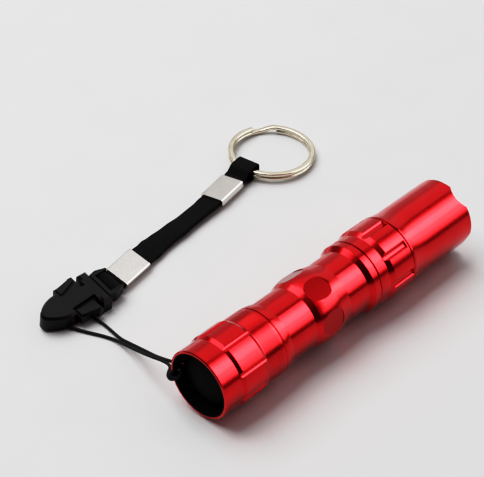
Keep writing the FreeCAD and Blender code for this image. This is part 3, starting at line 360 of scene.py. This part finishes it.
def woven(name, base, light, pitch, width):
    """Nylon webbing: ribs across the strap, offset from row to row, under a soft sheen."""
    shader = Shader(name, 0.85)
    shader.set("Specular IOR Level", 0.15)
    uv = shader.axes("UV")
    row = shader.ripple(uv["Y"], pitch)
    slanted = shader.math("ADD", uv["X"], shader.math("MULTIPLY", uv["Y"], 0.9))
    yarn = shader.ripple(slanted, width)
    height = shader.math("MULTIPLY", row, shader.math("ADD", yarn, 0.5))
    shader.link(shader.mix(height, base, light), "Base Color")
    fuzz = shader.noise(9000.0, 2.0)
    shader.relief(shader.math("ADD", height, shader.math("MULTIPLY", fuzz, 0.3)), 0.00006)
    shader.set("Sheen Weight", 0.02)
    shader.set("Sheen Roughness", 0.4)
    return shader.material


def braided(name, base, light, turns, pitch):
    """Braided cord: yarns cross both ways round it. UV x runs once round, UV y is metres along."""
    shader = Shader(name, 0.7)
    shader.set("Specular IOR Level", 0.3)
    uv = shader.axes("UV")
    around = shader.math("MULTIPLY", uv["X"], turns)
    along = shader.math("MULTIPLY", uv["Y"], 1 / pitch)
    right = shader.ripple(shader.math("ADD", around, along), 1.0)
    left = shader.ripple(shader.math("SUBTRACT", around, along), 1.0)
    height = shader.math("MAXIMUM", right, left)
    shader.link(shader.mix(height, base, light), "Base Color")
    shader.relief(height, 0.00005)
    shader.set("Sheen Weight", 0.03)
    return shader.material


def clear_lens():
    """Clear glass with the faintest tint."""
    shader = Shader("clear_lens", 0.02)
    shader.set("Transmission Weight", 1.0)
    shader.set("IOR", 1.5)
    tint = shader.spread(shader.noise(200.0), 0.0, 1.0)
    shader.link(shader.mix(tint, (0.96, 0.98, 1.0), (0.99, 1.0, 1.0)), "Base Color")
    shader.link(shader.spread(shader.noise(700.0), 0.01, 0.04), "Roughness")
    return shader.material


def circuit_board():
    """Green solder mask with faint straight traces under it."""
    shader = Shader("circuit_board", 0.35)
    axes = shader.axes()
    traces = shader.math("GREATER_THAN", shader.ripple(
        shader.math("ADD", axes["Y"], shader.math("MULTIPLY", axes["Z"], 0.4)), 0.9 * MM), 0.72)
    shader.link(shader.mix(traces, (0.01, 0.09, 0.03), (0.03, 0.17, 0.06)), "Base Color")
    shader.link(shader.spread(shader.noise(1800.0), 0.28, 0.42), "Roughness")
    shader.relief(traces, 0.00002)
    return shader.material


CELL_MIDDLE, JACKET_HALF_LENGTH = 41.2 * MM, 24.4 * MM


def cell_jacket():
    """Shrink jacket on the can, bare nickel at both ends."""
    shader = Shader("cell_jacket", 0.3)
    axes = shader.axes()
    middle = CELL_MIDDLE + TAIL_X
    from_middle = shader.math("ABSOLUTE", shader.math("SUBTRACT", axes["X"], middle))
    bare = shader.math("GREATER_THAN", from_middle, JACKET_HALF_LENGTH)
    shader.link(shader.mix(bare, (0.05, 0.075, 0.10), (0.72, 0.70, 0.66)), "Base Color")
    shader.link(bare, "Metallic")
    shader.link(shader.spread(shader.noise(900.0), 0.22, 0.38), "Roughness")
    return shader.material


def make_materials():
    """One material for each slot of the record."""
    return {
        "red_anodised": red_anodised(),
        "black_rubber": mottled("black_rubber", (0.002, 0.002, 0.002), (0.004, 0.004, 0.004),
                                900, (0.6, 0.75), grain=8e-6, shine=0.12),
        "seal_rubber": mottled("seal_rubber", (0.02, 0.02, 0.02), (0.03, 0.03, 0.03),
                               900, (0.25, 0.4)),
        "white_plastic": mottled("white_plastic", (0.72, 0.72, 0.68), (0.8, 0.8, 0.76),
                                 700, (0.35, 0.5)),
        "black_plastic": mottled("black_plastic", (0.004, 0.004, 0.0045), (0.01, 0.01, 0.01),
                                 1200, (0.35, 0.5), grain=1e-5),
        "buckle_plastic": mottled("buckle_plastic", (0.002, 0.002, 0.003), (0.004, 0.004, 0.005),
                                  1500, (0.30, 0.45), grain=4e-6, shine=0.28),
        "chip_plastic": mottled("chip_plastic", (0.015, 0.015, 0.016), (0.03, 0.03, 0.03),
                                3000, (0.5, 0.6)),
        "brass_plain": turned_metal("brass_plain", (0.70, 0.50, 0.20), (0.78, 0.58, 0.26), 0.22),
        "spring_steel": nickel("spring_steel", (0.55, 0.55, 0.55), (0.65, 0.65, 0.64), 0.2),
        "cell_jacket": cell_jacket(),
        "circuit_board": circuit_board(),
        "ferrite": mottled("ferrite", (0.03, 0.03, 0.032), (0.06, 0.06, 0.06),
                           4000, (0.6, 0.75), grain=2e-5),
        "wire_jacket": mottled("wire_jacket", (0.42, 0.012, 0.01), (0.5, 0.02, 0.015),
                               900, (0.3, 0.4)),
        "led_board_metal": mottled("led_board_metal", (0.78, 0.78, 0.75), (0.84, 0.84, 0.82),
                                   900, (0.3, 0.4)),
        "led_phosphor": mottled("led_phosphor", (0.75, 0.62, 0.08), (0.82, 0.72, 0.15),
                                2500, (0.1, 0.2), coat=1.0),
        "reflector_mirror": nickel("reflector_mirror", (0.88, 0.88, 0.88), (0.92, 0.92, 0.92),
                                   0.03),
        "clear_lens": clear_lens(),
        "black_webbing": woven("black_webbing", (0.0025, 0.0025, 0.003), (0.012, 0.012, 0.013),
                               0.55 * MM, 0.42 * MM),
        "black_cord": braided("black_cord", (0.002, 0.002, 0.0025), (0.014, 0.014, 0.016),
                              4.0, 1.1 * MM),
        "crimp_nickel": nickel("crimp_nickel", (0.66, 0.63, 0.60), (0.70, 0.67, 0.64), 0.13),
        "ring_nickel": nickel("ring_nickel", (0.62, 0.56, 0.45), (0.70, 0.64, 0.52), 0.17),
    }


# ---------------------------------------------------------------- mesh helpers

def smooth_route(points):
    """Points along the smooth NURBS line that has the given points as its control points."""
    curve = bpy.data.curves.new("route", "CURVE")
    curve.dimensions = "3D"
    curve.resolution_u = 10
    spline = curve.splines.new("NURBS")
    spline.points.add(len(points) - 1)
    for control, point in zip(spline.points, points):
        control.co = (*point, 1.0)
    spline.order_u = 3
    spline.use_endpoint_u = True
    route = bpy.data.objects.new("route", curve)
    mesh = bpy.data.meshes.new_from_object(route)
    result = [vertex.co.copy() for vertex in mesh.vertices]
    bpy.data.objects.remove(route)
    bpy.data.curves.remove(curve)
    bpy.data.meshes.remove(mesh)
    return result


def carried_frames(points):
    """Centre, across and up at each point of a line, turned as little as possible along it."""
    frames = []
    across = None
    for index, point in enumerate(points):
        before, after = points[max(index - 1, 0)], points[min(index + 1, len(points) - 1)]
        along = (after - before).normalized()
        if across is None:
            across = along.orthogonal().normalized()
        across = (across - along * across.dot(along)).normalized()
        frames.append((point, across, along.cross(across)))
    return frames


def swept(name, frames, section, slot, body, materials, scale=None, crease=50.0, whole_turn=False):
    """A closed section carried along frames and capped at both ends. The scale is a function of
    how far along it is, from 0 to 1. UVs are in metres; with whole_turn, U is 0 to 1 round it."""
    count = len(section)
    steps = [math.dist(section[i], section[(i + 1) % count]) for i in range(count)]
    reach = [sum(steps[:i]) for i in range(count + 1)]
    if whole_turn:
        reach = [value / reach[-1] for value in reach]
    work = bmesh.new()
    rings = []
    lengths = [0.0]
    for index, (centre, across, up) in enumerate(frames):
        if index:
            lengths.append(lengths[-1] + (centre - frames[index - 1][0]).length)
        grow = scale(index / (len(frames) - 1)) if scale else 1.0
        rings.append([work.verts.new(centre + across * (a * grow) + up * (b * grow))
                      for a, b in section])
    layer = work.loops.layers.uv.new("UVMap")
    for row in range(len(rings) - 1):
        for side in range(count):
            following = (side + 1) % count
            face = work.faces.new((rings[row][side], rings[row + 1][side],
                                   rings[row + 1][following], rings[row][following]))
            places = ((side, row), (side, row + 1), (side + 1, row + 1), (side + 1, row))
            for loop, (u, v) in zip(face.loops, places):
                loop[layer].uv = (reach[u], lengths[v])
    for ring in (rings[0], rings[-1]):
        face = work.faces.new(ring)
        for loop, (a, b) in zip(face.loops, section):
            loop[layer].uv = (a, b)
    bmesh.ops.recalc_face_normals(work, faces=work.faces)
    for edge in work.edges:
        edge.smooth = len(edge.link_faces) < 2 or edge.calc_face_angle() < math.radians(crease)
    for face in work.faces:
        face.smooth = True
    mesh = bpy.data.meshes.new(name)
    work.to_mesh(mesh)
    work.free()
    piece = bpy.data.objects.new(name, mesh)
    scene.collection.objects.link(piece)
    mesh.materials.append(materials[slot])
    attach(piece, body)
    return piece


def rounded_section(width, height, radius, steps=4, groove=0.0):
    """A rectangle with round corners; a groove dents the middle of both short sides."""
    section = []
    for corner, (x, y) in enumerate(((1, -1), (1, 1), (-1, 1), (-1, -1))):
        centre = (x * (width / 2 - radius), y * (height / 2 - radius))
        first = math.radians(-90 + 90 * corner)
        for step in range(steps + 1):
            angle = first + math.radians(90) * step / steps
            section.append((centre[0] + radius * math.cos(angle),
                            centre[1] + radius * math.sin(angle)))
        if groove and corner in (0, 2):
            section.append((x * (width / 2 - groove), 0.0))
    return section


def place(station, side, height):
    """A point from its station along the flashlight, distance to the side and height, in mm."""
    return Vector((station * MM + TAIL_X, side * MM, height * MM))


# ---------------------------------------------------------------- thin cord

CORD_DIAMETER = 0.85 * MM
CORD_SIDES = 12
# The cord's route: station, side and height. It leaves the buckle, goes in through the tail cap's
# side hole, out over the rim and back to the buckle.
CORD_ROUTE = [
    (5.9, 46.7, 0.72), (6.3, 42.4, 0.48), (5.95, 37.7, 0.5), (5.3, 33.5, 0.62), (5.17, 29.6, 1.55),
    (3.69, 23.0, 4.6), (2.2, 16.9, 7.5), (2.0, 13.6, 8.8), (2.9, 11.3, 8.75), (2.6, 9.4, 9.15),
    (2.15, 7.9, 9.45), (1.2, 7.35, 8.6), (0.2, 7.5, 7.6), (-0.5, 8.7, 7.4), (-0.5, 9.3, 7.55),
    (0.15, 9.85, 8.15), (1.3, 10.75, 8.85), (1.6, 13.3, 8.6), (1.4, 18.2, 7.2), (2.8, 24.4, 4.05),
    (4.03, 30.6, 1.4), (4.2, 34.2, 0.6), (3.1, 37.6, 0.48), (1.2, 41.4, 0.5), (-0.9, 46.2, 0.62),
]
# Where the cord is fuller: in the side hole, and twice where it turns over the rim. Each entry is
# the place, how far the fullness reaches (mm) and how much it adds to the cord's width.
CORD_KNOTS = [
    ((2.6, 9.4, 9.15), 0.9, 1.4), ((-0.5, 9.1, 7.45), 1.2, 0.7), ((0.15, 9.85, 8.1), 1.2, 0.7),
]


def add_cord(materials):
    route = smooth_route([place(*entry) for entry in CORD_ROUTE])
    angles = [2 * math.pi * index / CORD_SIDES for index in range(CORD_SIDES)]
    circle = [(CORD_DIAMETER / 2 * math.cos(angle), CORD_DIAMETER / 2 * math.sin(angle))
              for angle in angles]

    def thickness(share):
        point = route[round(share * (len(route) - 1))]
        return 1 + sum(rise * math.exp(-((point - place(*middle)).length / (reach * MM)) ** 2)
                       for middle, reach, rise in CORD_KNOTS)

    cord = swept("cord_braid", carried_frames(route), circle, "black_cord", "tail", materials,
                 scale=thickness, whole_turn=True)
    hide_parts("thin_cord")


# ---------------------------------------------------------------- webbing and its loops

WEBBING_WIDTH = 6.4 * MM
WEBBING_THICKNESS = 1.36 * MM
WEBBING_CORNER, WEBBING_GROOVE = 0.3 * MM, 0.22 * MM
# Middle line of the webbing: station, side, height (mm) and roll (degrees). A positive roll raises
# the edge that faces away from the flashlight. The first and last pairs lie inside the crimps.
WEBBING_ROUTE = [
    (18.9, 49.5, 2.55, 18), (24.0, 50.4, 2.51, 18), (29.0, 51.3, 2.47, 18), (33.5, 52.2, 2.0, 15),
    (38.4, 53.2, 1.6, 3), (46.2, 54.0, 1.35, -9), (55.4, 54.9, 1.45, -11), (60.6, 55.45, 1.8, -8),
    (65.7, 56.4, 1.875, -5), (70.8, 57.3, 1.95, -5),
]
# The strap's width is a little uneven, as a sum of waves: rise, pace and start.
WEBBING_UNEVENNESS = [(0.022, 38, 0), (0.018, 71, 1)]
# The buckle's nose, how far its resting edge is from its middle (mm), and its turn and its roll
# about that edge.
BUCKLE_NOSE, BUCKLE_EDGE = (-6.2, 50.7, 0.0), 5.7
BUCKLE_HEADING, BUCKLE_ROLL = math.radians(-3.0), math.radians(10.0)
# In the buckle's own frame (mm): its bar, and how far past the bar the webbing's two layers meet.
BAR_STATION, BAR_HEIGHT, TONGUE = 22.0, 2.3, 2.05
RING_LOOP_FOOT, RING_LOOP_HEADING = (72.4, 57.55, 2.17), math.radians(10.0)
# How far beside the middle line the line runs that gives the webbing its roll.
BESIDE = 3 * MM
# The folds' outlines (mm): along the webbing and up, from its lower layer round to its upper one.
RING_FOLD = [
    (0.05, -0.34), (1.0, -0.9), (2.0, -1.88), (3.8, -1.95), (5.3, -1.92), (6.9, -1.7), (7.12, 0.0),
    (6.9, 1.7), (5.3, 1.92), (3.8, 1.95), (2.0, 1.88), (1.0, 0.9), (0.05, 0.34),
]
RING_FOLD_WIDTH, RING_FOLD_THICKNESS = 6.3 * MM, 0.46 * MM
BAR_FOLD = [
    (2.0, -0.34), (1.3, -0.7), (0.6, -1.25), (-0.5, -1.3), (-1.3, -0.7), (-1.35, 0.0),
    (-1.3, 0.7), (-0.5, 1.3), (0.6, 1.25), (1.3, 0.7), (2.0, 0.34),
]
BAR_FOLD_WIDTH, BAR_FOLD_THICKNESS = 6.1 * MM, 0.5 * MM


def buckle_matrix():
    """The buckle's own frame: X along it from the nose, Z up from its underside."""
    heading = Matrix.Rotation(BUCKLE_HEADING, 4, "Z")
    roll = Matrix.Rotation(BUCKLE_ROLL, 4, "X")
    edge = Matrix.Translation((0, -BUCKLE_EDGE * MM, 0))
    nose = Matrix.Translation(place(*BUCKLE_NOSE))
    return nose @ heading @ edge @ roll @ edge.inverted()


def bar_matrix(past=0.0):
    """The buckle's bar, or a place past it along the buckle."""
    return buckle_matrix() @ Matrix.Translation(((BAR_STATION + past) * MM, 0, BAR_HEIGHT * MM))


def ring_loop_matrix():
    """Where the webbing's two layers part to go round the split ring."""
    return Matrix.Translation(place(*RING_LOOP_FOOT)) @ Matrix.Rotation(RING_LOOP_HEADING, 4, "Z")


def webbing_frames():
    """Frames along the smooth middle line; the across direction follows a second line beside it."""
    bar = bar_matrix(TONGUE)
    ring = ring_loop_matrix()
    centres = [place(*entry[:3]) for entry in WEBBING_ROUTE]
    sideways = []
    for index, entry in enumerate(WEBBING_ROUTE):
        along = centres[min(index + 1, len(centres) - 1)] - centres[max(index - 1, 0)]
        across = Vector((0, 0, 1)).cross(along).normalized()
        sideways.append(Quaternion(along.normalized(), math.radians(entry[3])) @ across)
    centres = [bar.translation] + centres + [ring.translation]
    sideways = [bar.col[1].to_3d()] + sideways + [ring.col[1].to_3d()]
    middle = smooth_route(centres)
    beside = smooth_route([centre + across * BESIDE for centre, across in zip(centres, sideways)])
    frames = []
    for index, (point, edge) in enumerate(zip(middle, beside)):
        along = middle[min(index + 1, len(middle) - 1)] - middle[max(index - 1, 0)]
        along.normalize()
        across = edge - point
        across = (across - along * across.dot(along)).normalized()
        frames.append((point, across, along.cross(across)))
    return middle, frames


def add_webbing(materials):
    middle, frames = webbing_frames()
    section = rounded_section(WEBBING_WIDTH, WEBBING_THICKNESS, WEBBING_CORNER,
                              groove=WEBBING_GROOVE)

    def unevenness(share):
        return 1 + sum(rise * math.sin(pace * share + start)
                       for rise, pace, start in WEBBING_UNEVENNESS)

    strap = swept("webbing_strap", frames, section, "black_webbing", "tail", materials,
                  scale=unevenness)
    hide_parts("webbing")


def add_loop(name, node, matrix, outline, width, thickness, materials):
    """One layer of strap folded along an outline that stands across the webbing's width."""
    points = smooth_route([matrix @ Vector((x * MM, 0, z * MM)) for x, z in outline])
    across = matrix.col[1].to_3d().normalized()
    frames = []
    for index, point in enumerate(points):
        along = points[min(index + 1, len(points) - 1)] - points[max(index - 1, 0)]
        frames.append((point, across, along.normalized().cross(across)))
    section = rounded_section(width, thickness, thickness * 0.42)
    loop = swept(name, frames, section, "black_webbing", "tail", materials)
    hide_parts(node)


def add_loops(materials):
    add_loop("ring_fold", "webbing_ring_loop", ring_loop_matrix(), RING_FOLD, RING_FOLD_WIDTH,
             RING_FOLD_THICKNESS, materials)
    add_loop("bar_fold", "webbing_bar_loop", bar_matrix(), BAR_FOLD, BAR_FOLD_WIDTH,
             BAR_FOLD_THICKNESS, materials)


# ---------------------------------------------------------------- split ring

RING_CENTRE = (88.3, 58.8, 1.66)
RING_TILT = math.radians(2.44)
RING_MIDDLE_RADIUS = 11.63 * MM
COIL_RISE = 0.59 * MM
WIRE_WIDTH, WIRE_HEIGHT, WIRE_CORNER = 1.62 * MM, 1.08 * MM, 0.4 * MM
RING_STEPS = 220
# Angles in degrees from +X, anticlockwise: the upper coil starts at its free end and steps down to
# the lower coil, whose own free end lies near the start of the step.
UPPER_END, STEP_START, STEP_END, LOWER_END = 72.0, 398.0, 424.0, 756.0


def add_split_ring(materials):
    matrix = Matrix.Translation(place(*RING_CENTRE)) @ Matrix.Rotation(RING_TILT, 4, "Y")
    turn = matrix.to_3x3()
    frames = []
    for index in range(RING_STEPS + 1):
        degrees = UPPER_END + (LOWER_END - UPPER_END) * index / RING_STEPS
        share = min(max((degrees - STEP_START) / (STEP_END - STEP_START), 0.0), 1.0)
        height = COIL_RISE * math.cos(math.pi * share)
        angle = math.radians(degrees)
        outward = Vector((math.cos(angle), math.sin(angle), 0.0))
        point = outward * RING_MIDDLE_RADIUS + Vector((0, 0, height))
        frames.append((matrix @ point, turn @ outward, turn @ Vector((0, 0, 1))))
    section = rounded_section(WIRE_WIDTH, WIRE_HEIGHT, WIRE_CORNER, steps=6)
    ring = swept("split_ring_wire", frames, section, "ring_nickel", "split_ring", materials,
                 crease=40.0)
    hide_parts("split_ring")


# ---------------------------------------------------------------- CAD nodes

# How wide the edges are rounded, in mm.
EDGE_ROUNDING = {"buckle_sleeve": 0.28, "buckle_plug": 0.22, "prong_near": 0.16, "prong_far": 0.16,
                 "lower_crimp": 0.12, "upper_crimp": 0.12}
SHARP_EDGE = math.radians(32)


def finish_nodes(materials):
    """Give each CAD node its slot's material, and round the moulded and plated edges."""
    for entry in frame["record"]["subparts"]:
        data = NODES[entry["node"]].data
        data.materials.clear()
        data.materials.append(materials[entry["material_slot"]])
    for node, width in EDGE_ROUNDING.items():
        bevel = NODES[node].modifiers.new("edge_round", "BEVEL")
        bevel.width = width * MM
        bevel.segments = 3
        bevel.limit_method = "ANGLE"
        bevel.angle_limit = SHARP_EDGE
        bevel.use_clamp_overlap = True
        bevel.harden_normals = True


def main():
    materials = make_materials()
    add_camera()
    add_cord(materials)
    add_webbing(materials)
    add_loops(materials)
    add_split_ring(materials)
    finish_nodes(materials)
    floor = add_floor()
    add_world()
    add_lights(floor)
    add_tone_curve()


main()
